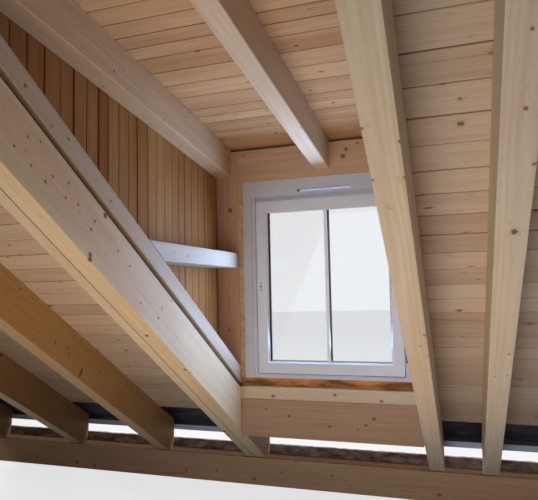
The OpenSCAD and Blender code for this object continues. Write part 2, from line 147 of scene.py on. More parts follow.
floor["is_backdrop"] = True


def soft_lamp(name, place, target, width, height, power, tint, spread=180):
    """A large soft lamp that shines from its place towards a target, within a cone of spread degrees."""
    lamp_data = bpy.data.lights.new(name, "AREA")
    lamp_data.shape = "RECTANGLE"
    lamp_data.size = width
    lamp_data.size_y = height
    lamp_data.energy = power
    lamp_data.color = tint[:3]
    lamp_data.spread = math.radians(spread)
    lamp = bpy.data.objects.new(name, lamp_data)
    lamp.location = place
    lamp.rotation_euler = (Vector(target) - Vector(place)).to_track_quat("-Z", "Y").to_euler()
    lamp.visible_camera = False
    lamp.visible_glossy = False
    lamp.visible_transmission = False
    bpy.context.scene.collection.objects.link(lamp)


sky_tint = colour(246, 249, 255)
pane_x, pane_z = -0.0115, 1.2139
soft_lamp("room_daylight", (0.3, 5.6, 0.7), (-0.2, 0.5, 1.15), 1.6, 0.6, 7.5, colour(206, 232, 255), 50)
soft_lamp("right_daylight", (-1.5, 2.2, 0.03), (-1.5, 2.2, 1.0), 1.6, 1.8, 2.9, colour(226, 240, 255))
soft_lamp("side_daylight", (-2.9, 1.6, 0.5), (0.0, 1.4, 1.3), 1.4, 1.0, 2, colour(255, 240, 225))
soft_lamp("floor_bounce", (0.1, 2.2, 0.03), (0.1, 2.2, 1.0), 1.4, 1.6, 15, colour(255, 212, 152))
soft_lamp("wall_foot_bounce", (-0.3, 1.1, 0.03), (-0.3, 0.4, 0.6), 1.2, 0.4, 1.1, colour(255, 214, 160))
soft_lamp("window_daylight", (pane_x, 0.485, pane_z), (pane_x, 1.485, 1.1), 0.62, 0.76, 25,
          colour(168, 200, 255))
soft_lamp("pane_daylight", (pane_x, 0.452, pane_z), (pane_x, 1.452, pane_z), 0.44, 0.58, 1.2,
          colour(200, 218, 255))
soft_lamp("roof_daylight", (-2.5, -3.0, 7.5), (0.4, 1.6, 1.8), 3.0, 3.0, 460, colour(252, 252, 255))
soft_lamp("left_daylight", (6.2, 0.6, 4.2), (2.6, 1.6, 1.3), 2.0, 2.0, 65, sky_tint, 60)
soft_lamp("far_right_daylight", (-5.2, 0.6, 4.2), (-1.6, 1.6, 1.3), 2.0, 2.0, 50, sky_tint, 60)
soft_lamp("ridge_daylight", (0.5, 8.0, 7.0), (0.5, 3.9, 2.6), 3.0, 1.0, 60, sky_tint, 60)
soft_lamp("street_daylight", (4.5, -7.0, 3.5), (0.5, 0.4, 1.3), 3.0, 3.0, 110, sky_tint, 60)

# Wall plate
# A squared spruce timber that lies along the top of the wall and takes the feet of all rafters.
# It is planed, with small knots and a few drying cracks, and is anchored to the wall.

along_wall = (0, 0, math.radians(-90))
plate_y = 0.060
spruce_pale, spruce_late, spruce_red = (210, 193, 168), (190, 165, 134), (186, 146, 112)
knot_rim_and_shade = colour(88, 58, 40)
knot_core = colour(112, 76, 52)
bark_and_shade_black = colour(34, 22, 16)


def ramp(tree, value, start, stop, low=0.0, high=1.0, way="LINEAR"):
    """low up to where a value is start, high from where it is stop, and a slope between them."""
    return shade(tree, "ShaderNodeMapRange", {0: value, 1: start, 2: stop, 3: low, 4: high},
                 interpolation_type=way).outputs[0]


def blend(tree, share, first, second, way="MIX"):
    """The first colour where share is 0, and the second where it is 1."""
    return shade(tree, "ShaderNodeMix", {0: share, 6: first, 7: second}, data_type="RGBA",
                 blend_type=way).outputs[2]


def clouding(tree, place, scale, detail=2.0, **more):
    """Soft noise, its scale in lumps a metre."""
    return shade(tree, "ShaderNodeTexNoise",
                 {"Vector": place, "Scale": scale, "Detail": detail, **more}).outputs[0]


def drawn_out(tree, place, *scale):
    """A place squeezed by scale, so that a pattern is drawn out where the scale is small."""
    return shade(tree, "ShaderNodeMapping", {0: place, "Scale": scale}).outputs[0]


def own_place(tree):
    """Where a point lies on its piece."""
    return shade(tree, "ShaderNodeTexCoord").outputs["Object"]


def cover(tree, inputs):
    """Ends a material in its one surface."""
    surface = shade(tree, "ShaderNodeBsdfPrincipled", inputs)
    shade(tree, "ShaderNodeOutputMaterial", {"Surface": surface.outputs[0]})


def skin(tree, base, rough, specular, height, bump=0.35, deep=0.0006):
    """Ends a material in a surface with a relief of height, up to deep metres, as fine as planed wood's."""
    relief = shade(tree, "ShaderNodeBump", {"Strength": bump, "Distance": deep, "Height": height})
    cover(tree, {"Base Color": base, "Roughness": rough, "Normal": relief.outputs[0],
                 "Specular IOR Level": specular})


def grown_wood(tree, grain, early, late, red, knot_size, crack, spots=(), dead=(), place=None,
               turn=(0, 0, 0)):
    """Rings, streaks and knots of spruce round the grain line, the height of its face, and its rings.

    early, late and red are its colours as seen. Knots grow by chance from the heart, up to knot_size.
    spots and dead are known knots of (x, y, z, radius), which lie along turn, the dead ones black.
    """
    early, late, red, round_knots = [colour(*seen) for seen in (early, late, red, spruce_red)]
    round_log, branches_a_metre, few_knots = 0.8, 7.0, 0.62
    knot_reach, knot_stretch, ragged = 9, 11, 0.09
    ring_scale, ring_share, streak_share, halo_share, knot_share = 62.0, 0.32, 0.5, 0.32, 0.82
    crack_apart, crack_long, crack_deep = 0.07, 3.2, 3.0
    parts = shade(tree, "ShaderNodeSeparateXYZ", {0: grain}).outputs
    about = reckon(tree, "MULTIPLY", reckon(tree, "ARCTAN2", parts["X"], parts["Z"]), round_log)
    up_log = reckon(tree, "MULTIPLY", parts["Y"], branches_a_metre)
    branches = shade(tree, "ShaderNodeCombineXYZ", {0: about, 1: up_log}).outputs[0]
    knots = shade(tree, "ShaderNodeTexVoronoi", {"Vector": branches, "Scale": 1.0},
                  voronoi_dimensions="2D").outputs
    chance = shade(tree, "ShaderNodeSeparateColor", {0: knots["Color"]}).outputs[0]
    reach = reckon(tree, "MULTIPLY_ADD", chance, knot_size, knot_size * -few_knots)
    edge = reckon(tree, "SUBTRACT", knots["Distance"], reach)
    black = 1.0
    for knot_at in (*spots, *dead):
        *spot, radius = knot_at
        wide, long = radius * knot_reach, radius * knot_stretch
        near = shade(tree, "ShaderNodeMapping",
                     {0: place, "Location": spot, "Rotation": turn, "Scale": (wide, long, wide)},
                     vector_type="TEXTURE").outputs[0]
        away = shade(tree, "ShaderNodeVectorMath", {0: near}, operation="LENGTH").outputs["Value"]
        away = reckon(tree, "SUBTRACT", away, 1 / knot_reach)
        edge = reckon(tree, "MINIMUM", edge, away)
        if knot_at in dead:
            black = reckon(tree, "MINIMUM", black, away)
    edge = reckon(tree, "MULTIPLY_ADD", clouding(tree, grain, 210.0), ragged, edge)
    edge = reckon(tree, "SUBTRACT", edge, ragged / 2)
    knot = ramp(tree, edge, 0.0, -0.035, way="SMOOTHSTEP")
    halo = ramp(tree, edge, 0.12, 0.0, way="SMOOTHSTEP")
    drawn = drawn_out(tree, grain, 1.0, 0.16, 1.0)
    rings = shade(tree, "ShaderNodeTexWave",
                  {"Vector": drawn, "Scale": ring_scale, "Distortion": 9.0, "Detail": 2.0,
                   "Detail Scale": 0.09, "Detail Roughness": 0.45,
                   "Phase Offset": reckon(tree, "MULTIPLY", halo, 5.0)},
                  wave_type="RINGS", rings_direction="Y", wave_profile="SIN").outputs["Fac"]
    streaks = clouding(tree, drawn_out(tree, grain, 1.0, 0.045, 1.0), 46.0, 4.0, Roughness=0.62)
    clouds = clouding(tree, drawn, 7.0)
    both = reckon(tree, "ADD", reckon(tree, "MULTIPLY", rings, ring_share),
                  ramp(tree, streaks, 0.36, 0.72, 0.0, streak_share))
    wood = blend(tree, both, early, late)
    wood = blend(tree, ramp(tree, clouds, 0.5, 0.8, 0.0, 0.45), wood, red)
    flecks = clouding(tree, drawn_out(tree, grain, 1.0, 0.14, 1.0), 230.0, 1.0)
    fleck = reckon(tree, "MULTIPLY", ramp(tree, flecks, 0.6, 0.74, 0.0, 0.22), clouds)
    wood = blend(tree, fleck, wood, knot_rim_and_shade)
    wood = blend(tree, reckon(tree, "MULTIPLY", halo, halo_share), wood, round_knots)
    branch = blend(tree, ramp(tree, edge, -0.02, -0.09), knot_rim_and_shade, knot_core)
    branch = blend(tree, ramp(tree, black, -0.01, -0.03, 0.0, 0.85), branch, bark_and_shade_black)
    wood = blend(tree, reckon(tree, "MULTIPLY", knot, knot_share), wood, branch)
    split_line = drawn_out(tree, grain, 1 / crack_apart, 1 / crack_long, 1 / crack_apart)
    splits = shade(tree, "ShaderNodeTexVoronoi", {"Vector": split_line, "Scale": 1.0},
                   feature="DISTANCE_TO_EDGE").outputs["Distance"]
    split = reckon(tree, "MULTIPLY", ramp(tree, splits, 0.016, 0.006),
                   ramp(tree, clouds, 0.42, 0.36, 0.0, crack))
    wood = blend(tree, split, wood, knot_rim_and_shade)
    return wood, reckon(tree, "MULTIPLY_ADD", split, -crack_deep, both), both


def spruce(name, heart, turn, early=spruce_pale, late=spruce_late, knot_size=0.3, crack=0.0,
           spots=(), dead=(), soiled=None, groove_x=None):
    """Planed spruce of one timber, its rings round a heart line that runs the way it was sawn.

    soiled gives the heights where a painted shade on the top face begins and is full, groove_x the side where
    two eased edges meet in a groove darkened by painted shade.
    """
    top_shade_share, groove_shade_half, groove_shade_share = 0.85, 0.0022, 0.75
    made, tree = new_finish(name)
    place = own_place(tree)
    grain = shade(tree, "ShaderNodeMapping", {0: place, "Location": heart, "Rotation": turn},
                  vector_type="TEXTURE").outputs[0]
    wood, height, rings = grown_wood(tree, grain, early, late, spruce_red, knot_size, crack,
                                     spots, dead, place, turn)
    parts = shade(tree, "ShaderNodeSeparateXYZ", {0: place}).outputs
    # Painted shade: the top face above these heights is darkened with the knot rim colour.
    if soiled:
        wood = blend(tree, ramp(tree, parts["Z"], *soiled, 0.0, top_shade_share), wood, knot_rim_and_shade)
    # Painted shade: a thin band along this side is darkened towards black where the groove is.
    if groove_x:
        in_groove_shade = reckon(tree, "COMPARE", parts["X"], groove_x, groove_shade_half)
        wood = blend(tree, reckon(tree, "MULTIPLY", in_groove_shade, groove_shade_share), wood, bark_and_shade_black)
    skin(tree, wood, rough=ramp(tree, rings, 0.0, 1.0, 0.62, 0.5), specular=0.32, height=height)
    return made


logs = random.Random(7)
slot_of = {
    name: node.material_slots[0].material.name.split(".")[0]
    for name, node in nodes.items()
    if node.material_slots
}


def dress(node, finish):
    """Gives a CAD piece its own finish."""
    nodes[node].data.materials.clear()
    nodes[node].data.materials.append(finish)


def saw(node, turn, off=(0.03, 0.0, 0.05), **looks):
    """Gives a CAD timber its own spruce, from its own log, with the heart line off its middle."""
    along = Vector((0, logs.uniform(-40, 40), 0))
    along.rotate(Euler(turn))
    low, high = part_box(node)
    dress(node, spruce(node + "_spruce", (low + high) / 2 + Vector(off) + along, turn, **looks))


def front_knots(y, *knots):
    """Knots of (x, z, radius) on a face that looks into the room."""
    return [(x, y, z, radius) for x, z, radius in knots]


def side_knots(x, *knots):
    """Knots of (y, z, radius) on an upright side of a timber."""
    return [(x, y, z, radius) for y, z, radius in knots]


# The plate's top face is darkened as painted shade.
saw("wall_plate", along_wall, off=(0, 0.02, -0.04), early=(206, 164, 126), late=(182, 136, 98),
    crack=0.35, soiled=(0.163, 0.165),
    spots=front_knots(plate_y, (0.386, 0.088, 0.0068), (0.078, 0.095, 0.0080), (2.208, 0.048, 0.0123),
                      (1.867, 0.040, 0.0123), (1.726, 0.025, 0.0108), (1.032, 0.054, 0.0080),
                      (0.821, 0.063, 0.0080), (0.567, 0.037, 0.0108), (-0.525, 0.041, 0.0108)))

# Rafters and trimmers
# Planed spruce timbers, 80 by 192 mm, that rise from the plate at 32.8 degrees and carry the roof.
# The trimmers beside the dormer are the same timber, and the left one has a thinner one spiked to it.
# Behind the seat on the plate the feet of all eight are rounded off.

main_pitch = math.radians(32.8)
along_slope = (main_pitch, 0, 0)
opening_x, doubler_x = 0.480, 0.560
# The trimmer and its doubler carry a painted shade line where they meet.
saw("trimmer_left", along_slope, off=(0.02, 0, -0.03), early=(212, 190, 154), knot_size=0.12,
    groove_x=doubler_x,
    dead=[*side_knots(opening_x, (1.734, 1.460, 0.0094), (1.818, 1.319, 0.0088), (1.818, 1.304, 0.0094),
                      (1.818, 1.289, 0.0075)),
          (0.527, 1.385, 1.019, 0.0094), (0.494, 1.118, 0.847, 0.0088)],
    spots=side_knots(opening_x, (1.793, 1.433, 0.0056), (1.813, 1.404, 0.0056), (1.928, 1.540, 0.0047),
                     (2.002, 1.545, 0.0047), (2.033, 1.524, 0.0056), (1.942, 1.490, 0.0047),
                     (1.881, 1.478, 0.0047), (2.093, 1.560, 0.0040), (1.657, 1.340, 0.0047),
                     (1.580, 1.289, 0.0047), (1.508, 1.152, 0.0047), (1.344, 1.127, 0.0047),
                     (1.373, 1.087, 0.0056), (1.263, 1.155, 0.0047), (2.159, 1.602, 0.0047),
                     (2.107, 1.641, 0.0040), (2.055, 1.640, 0.0040)))
saw("trimmer_left_doubler", along_slope, off=(-0.04, 0, -0.05), groove_x=doubler_x)
saw("trimmer_right", along_slope, off=(0.03, 0, 0.04), early=(212, 198, 178), knot_size=0.14,
    spots=((-0.554, 1.396, 1.026, 0.0058), (-0.534, 1.330, 0.984, 0.0038), (-0.558, 2.144, 1.508, 0.0038),
           (-0.483, 2.185, 1.534, 0.0038), (-0.484, 2.048, 1.446, 0.0038)))
saw("rafter_right_1", along_slope, off=(-0.03, 0, 0.03), early=(214, 200, 182),
    late=(194, 172, 146), knot_size=0.14, dead=[(-0.807, 1.857, 1.323, 0.0096)],
    spots=((-0.825, 1.286, 0.955, 0.0045), (-0.785, 1.131, 0.855, 0.0038), (-0.826, 1.144, 0.863, 0.0038),
           (-0.808, 2.189, 1.537, 0.0051), (-0.835, 2.056, 1.451, 0.0045), (-0.807, 2.338, 1.633, 0.0038)))
# The three left rafters are given darker, warmer colours as painted shade.
saw("rafter_left_1", along_slope, early=(190, 156, 110), late=(164, 126, 82),
    spots=side_knots(1.149, (1.067, 0.899, 0.006), (1.072, 0.929, 0.007), (1.166, 0.967, 0.007),
                     (0.410, 0.466, 0.008), (0.234, 0.461, 0.007), (0.816, 0.778, 0.006)))
saw("rafter_left_2", along_slope, early=(172, 138, 98), late=(148, 112, 74),
    spots=side_knots(1.818, (0.748, 0.529, 0.006), (0.303, 0.341, 0.007), (0.487, 0.573, 0.006)))
saw("rafter_left_3", along_slope, early=(166, 134, 98), late=(142, 108, 74))
saw("rafter_right_2", along_slope)
saw("cut_rafter", along_slope)
saw("upper_trimmer_beam", along_wall)

rise = math.tan(main_pitch)
timber_deep = 0.192 / math.cos(main_pitch)
nose_back, nose_up, nose_steps = 0.044, 0.095, 8
heel_reach = 0.050
arris, shortest_arris = 0.003, 0.3


def span(build, first, last):
    """Joins two like rings of corners with faces along the piece, and gives the two faces at its ends."""
    for k in range(len(first)):
        build.faces.new((first[k - 1], first[k], last[k], last[k - 1]))
    return build.faces.new(first[::-1]), build.faces.new(last)


def solid(name, build, slot, *finishes, stands_for=None):
    """Makes a built shape one piece with its finishes, fixed to the roof. Its slot is not used."""
    data = bpy.data.meshes.new(name)
    build.to_mesh(data)
    build.free()
    for finish in finishes:
        data.materials.append(finish)
    made = bpy.data.objects.new(name, data)
    bpy.context.scene.collection.objects.link(made)
    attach(made, "root")
    if stands_for:
        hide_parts(stands_for)
    return made


def round_nose(node):
    """The same timber with its foot rounded: a nose behind the seat, and a heel that runs into it."""
    low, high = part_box(node)
    climb = (high.y - plate_y) * rise
    outline = [(high.y, low.z + climb), (high.y, low.z + climb + timber_deep),
               (low.y, low.z - (plate_y - low.y) * rise + timber_deep)]
    for step in range(nose_steps + 1):
        turn = math.radians(90) * (1 - step / nose_steps)
        outline.append((low.y + nose_back * (1 - math.sin(turn)), low.z + nose_up * (1 - math.cos(turn))))
    toe_reach = plate_y - low.y - nose_back
    for step in range(1, nose_steps + 1):
        share = step / nose_steps
        heel = share ** 2 * heel_reach
        outline.append((plate_y - (1 - share) ** 2 * toe_reach + heel, low.z + heel * rise))
    build = bmesh.new()
    span(build, *[[build.verts.new((x, y, z)) for y, z in outline] for x in (low.x, high.x)])
    bmesh.ops.recalc_face_normals(build, faces=build.faces)
    arrises = [edge for edge in build.edges if edge.calc_length() > shortest_arris
               and abs(edge.verts[0].co.x - edge.verts[1].co.x) < 1e-6]
    bmesh.ops.bevel(build, geom=arrises, offset=arris, segments=2, affect="EDGES", profile=0.6)
    solid(node + "_timber", build, slot_of[node], nodes[node].material_slots[0].material, stands_for=node)


for node in ("trimmer_left", "trimmer_left_doubler", "trimmer_right", "rafter_left_1", "rafter_left_2",
             "rafter_left_3", "rafter_right_1", "rafter_right_2"):
    round_nose(node)

# Front wall of the dormer
# A deep beam hung between the trimmers, a flat rail on it, two posts and a header, all of spruce.
# They are housed and screwed together and leave the opening for the window.

upright = (math.radians(90), 0, 0)
wall_y = 0.478
# These timbers are given a redder, darker brown: partly their own tone, partly painted shade.
saw("lower_trimmer_beam", along_wall, off=(0, -0.07, 0.03), early=(172, 140, 114),
    late=(152, 118, 92), knot_size=0.14,
    spots=front_knots(wall_y, (0.208, 0.523, 0.0098), (-0.011, 0.480, 0.0081), (-0.157, 0.474, 0.0058),
                      (-0.199, 0.496, 0.0092), (-0.240, 0.530, 0.0105), (0.335, 0.556, 0.0068)))
saw("sill_rail", along_wall, off=(0, 0.02, 0.03), knot_size=0.1,
    spots=front_knots(wall_y, (0.296, 0.624, 0.0095), (-0.041, 0.642, 0.0080), (-0.281, 0.620, 0.0080)))
saw("corner_post_left", upright, early=(206, 164, 134), late=(182, 138, 108))
saw("corner_post_right", upright, early=(196, 150, 116), late=(172, 124, 92))
saw("header_beam", along_wall, early=(206, 168, 136), late=(180, 138, 106), knot_size=0.2,
    spots=front_knots(wall_y, (-0.123, 1.895, 0.0123), (-0.140, 1.931, 0.0095)))

# Cheek frame
# Sole plates lie on the main roof boards over the trimmers, and one level rail braces each cheek.
# They are spruce, cut to the slope at their ends and screwed down.

level = (0, 0, 0)
saw("sole_plate_left", along_slope, off=(0.01, 0, -0.02), early=(186, 171, 149),
    late=(166, 145, 118), knot_size=0.12,
    spots=side_knots(opening_x, (1.703, 1.514, 0.0056), (1.930, 1.679, 0.0056), (2.005, 1.700, 0.0040),
                     (2.120, 1.786, 0.0064)))
saw("sole_plate_right", along_slope)
saw("cheek_rail_left", level, off=(0.02, 0, 0.01), early=(186, 180, 164),
    late=(168, 154, 130), knot_size=0.1, spots=side_knots(opening_x, (1.106, 1.352, 0.0058)))
saw("cheek_rail_right", level)

# Dormer rafters
# Three spruce timbers at 7.5 degrees from the header up to the main roof, the side ones on the cheeks.
# Their toes are bevelled to lie on the sole plates and on the upper beam.

dormer_pitch = math.radians(7.5)
along_dormer = (dormer_pitch, 0, 0)
saw("dormer_rafter_left", along_dormer, off=(0.02, 0, -0.02), early=(200, 175, 140),
    late=(178, 148, 109), knot_size=0.12,
    spots=[*side_knots(0.520, (1.623, 2.021, 0.0056), (1.246, 1.945, 0.0056), (1.051, 2.068, 0.0056),
                       (1.230, 2.096, 0.0056), (1.000, 2.052, 0.0040), (0.508, 1.928, 0.0047)),
           (0.586, 1.597, 1.981, 0.0056), (0.585, 1.250, 1.935, 0.0047), (0.536, 1.135, 1.920, 0.0047),
           (0.519, 1.831, 1.990, 0.0047), (0.584, 0.973, 1.899, 0.0056)])
saw("dormer_rafter_middle", along_dormer, off=(0.0, 0, 0.04))
saw("dormer_rafter_right", along_dormer)

# Cheek boards
# Narrow tongued boards stand upright on the main roof boards and are nailed to the cheek frame outside.
# They are of redder spruce and have shrunk, so joints of uneven width show between them, their faces darkened
# by dirt and painted shade.


def lay_boards(name, node, joints, low, high, across, along, out, corner, thick, gap, nick, seed, finish,
               known_gaps=None, stains=None, plumb=0.0):
    """Tongued boards side by side. joints are places across them, and low and high give their ends there.

    stains gives how dark single boards are at their first edge, in the middle and at their last edge.
    plumb is the tangent of a slope whose first and last board have upright outer edges. The first
    board has no groove and the last no tongue, so corners that fall together there are dropped.
    """
    edge_wide, tongue_out, groove_in, joint_shade_dark = 0.016, 0.005, 0.007, 0.5
    tongue_foot, tongue_top, groove_foot, groove_top = [thick * share for share in (0.42, 0.62, 0.4, 0.64)]
    pick = random.Random(seed)
    build = bmesh.new()
    grain = build.verts.layers.float_vector.new("grain")
    tone = build.verts.layers.float.new("tone")
    stain_and_joint_shade = build.verts.layers.float.new("stain_and_joint_shade")
    gaps = [0.0] + [gap * pick.choice((0.5, 0.8, 1.0, 1.2, 1.5, 2.0)) for _ in joints[2:]] + [0.0]
    for number, share in (known_gaps or {}).items():
        gaps[number] = gap * share
    last_board = len(joints) - 2
    for number, (start, stop) in enumerate(zip(joints, joints[1:])):
        left = start + gaps[number] / 2
        right = stop - gaps[number + 1] / 2
        tongue = right if number == last_board else stop + gaps[number + 1] / 2 + tongue_out
        groove = left if number == 0 else left + groove_in
        first_edge, across_face, last_edge = (stains or {}).get(number, (0.0, 0.0, 0.0))
        # The faces inside each joint are darkened by dirt and painted shade.
        in_joint = [(right, nick), (right, tongue_foot), (tongue, tongue_foot), (tongue, tongue_top),
                    (right, tongue_top), (left, groove_top), (groove, groove_top), (groove, groove_foot),
                    (left, groove_foot), (left, nick)]
        in_joint = [(a, d, joint_shade_dark) for a, d in in_joint]
        profile = [(left + nick, 0, first_edge), (left + nick + edge_wide, 0, across_face),
                   (right - nick - edge_wide, 0, across_face), (right - nick, 0, last_edge),
                   *in_joint[:5], (right, thick, 0), (left, thick, 0), *in_joint[5:]]
        profile = [p for k, p in enumerate(profile) if p != profile[k - 1]]
        if number == 0:
            profile = [(a + d * plumb, d, 0) if a <= left + nick else (a, d, s) for a, d, s in profile]
        if number == last_board:
            profile = [(a + d * plumb, d, 0) if a >= right - nick else (a, d, s) for a, d, s in profile]
        heart = pick.choice((-1, 1)) * pick.uniform(0.03, 0.07)
        lean = pick.uniform(-0.03, 0.03)
        shift = pick.uniform(0, 50)
        worn = pick.uniform(0.5, 1.0)
        ends = []
        for end in (low, high):
            ring = []
            for a, d, dark in profile:
                vert = build.verts.new(corner + across * a + along * end(a) + out * d)
                vert[grain] = (a - (start + stop) / 2 + lean, end(a) + shift, d + heart)
                vert[tone] = worn
                vert[stain_and_joint_shade] = dark
                ring.append(vert)
            ends.append(ring)
        for cut in span(build, *ends):
            cut.material_index = 1
    bmesh.ops.recalc_face_normals(build, faces=build.faces)
    solid(name, build, slot_of[node], finish, board_ends, stands_for=node)


# End grain is darker than the board faces, and it is darkened further as painted shade of the recess where it
# shows.
board_ends, tree = new_finish("sawn_board_ends")
place = own_place(tree)
patches = ramp(tree, clouding(tree, place, 14.0), 0.38, 0.62)
skin(tree, blend(tree, patches, colour(88, 62, 42), colour(56, 38, 26)), rough=0.9, specular=0.15,
     height=clouding(tree, place, 240.0, 3.0), bump=0.6, deep=0.001)


def drawn_on(tree, layer, output="Fac"):
    """What a layer of a piece's mesh says at each point."""
    return shade(tree, "ShaderNodeAttribute", attribute_name=layer).outputs[output]


def board_wood(name, early, late, red, knot_size, duller, brighter, stain_and_joint_shade_colour):
    """Spruce of a boarding. Each board has its own log, a tone of its own, stains, and joints darkened by
    dirt and painted shade.
    """
    crack, stain_and_joint_shade_share = 0.25, 0.75
    made, tree = new_finish(name)
    grain = drawn_on(tree, "grain", "Vector")
    wood, height, rings = grown_wood(tree, grain, early, late, red, knot_size, crack)
    shades = blend(tree, drawn_on(tree, "tone"), colour(*duller), colour(*brighter))
    wood = blend(tree, 1.0, wood, shades, "MULTIPLY")
    stain_and_joint_shade = reckon(tree, "MULTIPLY", drawn_on(tree, "stain_and_joint_shade"), stain_and_joint_shade_share)
    wood = blend(tree, stain_and_joint_shade, wood, colour(*stain_and_joint_shade_colour))
    skin(tree, wood, rough=ramp(tree, rings, 0.0, 1.0, 0.68, 0.56), specular=0.16, height=height)
    return made


x_way, y_way, z_way = Vector((1, 0, 0)), Vector((0, 1, 0)), Vector((0, 0, 1))
dormer_rise = math.tan(dormer_pitch)
cheek_low, cheek_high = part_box("cheek_boards_left")
cheek_run = cheek_high.y - cheek_low.y
cheek_top_z = cheek_low.z + cheek_run * rise - cheek_run * dormer_rise
cheek_joints = [0.0]
for width in (0.068, 0.072, 0.058, 0.055, 0.043, 0.080, 0.078, 0.078, 0.061, 0.068, 0.074, 0.073, 0.074,
              0.085, 0.070, 0.070, 0.072, 0.065, 0.071, 0.074, 0.071, 0.081, 0.082):
    cheek_joints.append(cheek_joints[-1] + width)
usual_width, widest_tip = 0.074, 0.15


def board_on(joints, width, until):
    """Goes on with boards of one width up to a place near the end."""
    while joints[-1] < until:
        joints.append(joints[-1] + width)


board_on(cheek_joints, usual_width, cheek_run - widest_tip)
cheek_joints.append(cheek_run)


def cheek_foot(run):
    """The height of a board's foot on the main roof boards, run in from the front."""
    return cheek_low.z + run * rise


def cheek_head(run):
    """The height of a board's head under the dormer's boards, run in from the front."""
    return cheek_top_z + run * dormer_rise


cheek_wood = board_wood("cheek_board_spruce", (166, 126, 77), (140, 98, 55), (128, 72, 38), 0.2,
                        (212, 172, 150), (255, 250, 244), (118, 50, 22))
cheek_gaps = {8: 1.2, 9: 1.0, 10: 0.4, 11: 0.2, 12: 0.2, 13: 1.2, 14: 2.0, 15: 0.2, 16: 1.0, 17: 1.2, 18: 2.6,
              19: 1.2, 20: 2.6, 21: 0.4, 22: 2.0, 23: 1.0}
cheek_stains = {7: (0.0, 0.05, 0.8), 14: (0.85, 0.05, 0.0), 17: (0.8, 0.4, 0.95), 20: (0.7, 0.15, 0.1),
                22: (0.0, 0.1, 0.5)}
cheek_gap, cheek_nick = 0.0026, 0.0016
for side, seed in (("left", 11), ("right", 12)):
    low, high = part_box("cheek_boards_" + side)
    way, inner_x = (1, low.x) if side == "left" else (-1, high.x)
    lay_boards("cheek_boarding_" + side, "cheek_boards_" + side, cheek_joints, cheek_foot, cheek_head,
               y_way, z_way, x_way * way, Vector((inner_x, low.y, 0)), high.x - low.x, cheek_gap,
               cheek_nick, seed, cheek_wood, known_gaps=cheek_gaps, stains=cheek_stains)

# Dormer ceiling boards and fascia
# Wider tongued spruce boards of mixed widths lie across the dormer rafters and show between them.
# A planed board closes the rafter ends at the dormer's eaves.

deck_t, deck_gap, deck_nick = 0.025, 0.002, 0.002


def slope_ways(pitch):
    """The ways up a slope and straight out of it."""
    return Vector((0, math.cos(pitch), math.sin(pitch))), Vector((0, -math.sin(pitch), math.cos(pitch)))


low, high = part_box("dormer_deck")
dormer_along, dormer_out = slope_ways(dormer_pitch)
dormer_len = (high.y - low.y) / math.cos(dormer_pitch)
half_deck = high.x
ceiling_joints = [0.0, 0.094, 0.200, 0.312, 0.425, 0.541, 0.622, 0.702, 0.828, 0.945, 1.062, 1.173, 1.255,
                  1.331, 1.417, 1.504]
ceiling_width, widest_last = 0.112, 0.17
board_on(ceiling_joints, ceiling_width, dormer_len - widest_last)
ceiling_joints.append(dormer_len)
ceiling_wood = board_wood("ceiling_board_spruce", (206, 172, 130), (178, 138, 96), (164, 112, 72), 0.3,
                          (206, 190, 178), (255, 255, 255), (100, 66, 40))
lay_boards("dormer_ceiling_boards", "dormer_deck", ceiling_joints, lambda a: -half_deck,
           lambda a: half_deck, dormer_along, x_way, dormer_out, Vector((0, low.y, low.z)), deck_t,
           deck_gap, deck_nick, 21, ceiling_wood, plumb=dormer_rise)
saw("dormer_fascia", along_wall, early=(204, 178, 142))

# Main roof boards
# Tongued spruce boards, 96 mm from joint to joint and 25 mm thick, lie level across the rafters.
# They are nailed from above and end short of the trimmers' inner faces at the dormer.

slope_along, slope_out = slope_ways(main_pitch)
first_course, course, narrowest_last = 0.087, 0.096, 0.04
roof_wood = board_wood("roof_board_spruce", (218, 200, 179), (194, 170, 144), (184, 142, 114), 0.24,
                       (206, 190, 180), (255, 255, 255), (108, 72, 46))
for part, seed in (("left", 31), ("right", 32), ("above", 33), ("below", 34)):
    low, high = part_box("roof_deck_" + part)
    length = (high.y - low.y) / math.cos(main_pitch)
    joints = [0.0, first_course]
    board_on(joints, course, length - course - narrowest_last)
    joints.append(length)
    lay_boards("roof_boards_" + part, "roof_deck_" + part, joints, lambda a: low.x, lambda a: high.x,
               slope_along, x_way, slope_out, Vector((0, low.y, low.z)), deck_t, deck_gap, deck_nick,
               seed, roof_wood, plumb=rise)

# Underlay
# A thin dark roofing film, laid on the boards under the counter battens and lapped at the dormer.
# Below the boards' lower edge it drops slack in folds and hangs over the rafters' feet, with painted light on
# a band at its hem.

film, tree = new_finish("roof_film")
place = own_place(tree)
creases = clouding(tree, place, 9.0, 5.0, Roughness=0.6, Distortion=0.6)
dots = shade(tree, "ShaderNodeTexVoronoi", {"Vector": place, "Scale": 260.0}).outputs["Distance"]
faces = blend(tree, ramp(tree, creases, 0.35, 0.7), colour(29, 31, 40), colour(50, 54, 67))
# The inner face is darkened as painted shade.
faces = blend(tree, drawn_on(tree, "inside"), faces, colour(15, 16, 22))
# A band at the hem is painted pale grey-blue, most on the inner face, as painted light.
faces = blend(tree, drawn_on(tree, "hem"), faces, colour(196, 204, 222))
relief = reckon(tree, "MULTIPLY_ADD", dots, 0.05, creases)
skin(tree, faces, rough=0.5, specular=0.22, height=relief, bump=0.4, deep=0.003)


